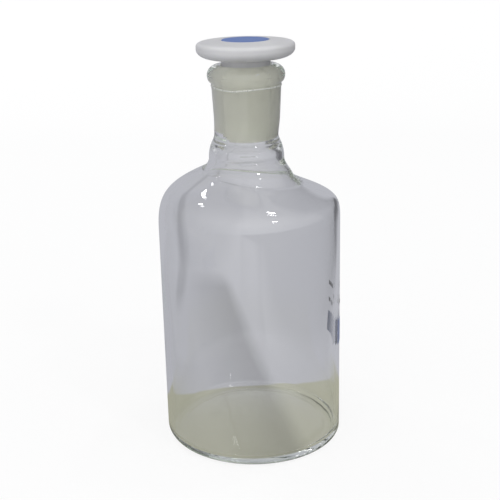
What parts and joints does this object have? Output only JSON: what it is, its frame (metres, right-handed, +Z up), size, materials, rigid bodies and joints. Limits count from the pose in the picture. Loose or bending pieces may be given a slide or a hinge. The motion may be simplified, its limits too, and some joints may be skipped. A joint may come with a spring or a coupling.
{
  "type": "reagent bottle",
  "caption": "Clear glass narrow-mouth reagent bottle with a sloping shoulder, a ground conical joint in its neck and a hollow plastic stopper with a flat round head and a coloured insert disc.",
  "frame": {"origin": "centre of the foot ring, on the surface that the bottle stands on", "axes": "+Z up along the bottle's axis; +X through the printed panel; +Y to the right-handed third direction"},
  "size_m": [0.0701, 0.07, 0.1569],
  "materials": {
    "clear_glass": "clear soda-lime glass, smooth, with the joint ground matt",
    "natural_polyethylene": "translucent natural polyethylene, satin",
    "blue_polyethylene": "opaque blue polyethylene, satin",
    "panel_enamel": "fired blue-grey enamel, matt",
    "mark_enamel": "fired grey enamel, matt"
  },
  "bodies": {
    "bottle": {"glass_bottle": "clear_glass", "enamel_panel": "panel_enamel", "enamel_marks": "mark_enamel"},
    "stopper": {"stopper": "natural_polyethylene", "stopper_insert": "blue_polyethylene"}
  },
  "joints": [
    {"name": "stopper_lift", "type": "slide", "parent": "bottle", "child": "stopper", "axis": [0, 0, 1], "range_m": [0, 0.045]}
  ]
}
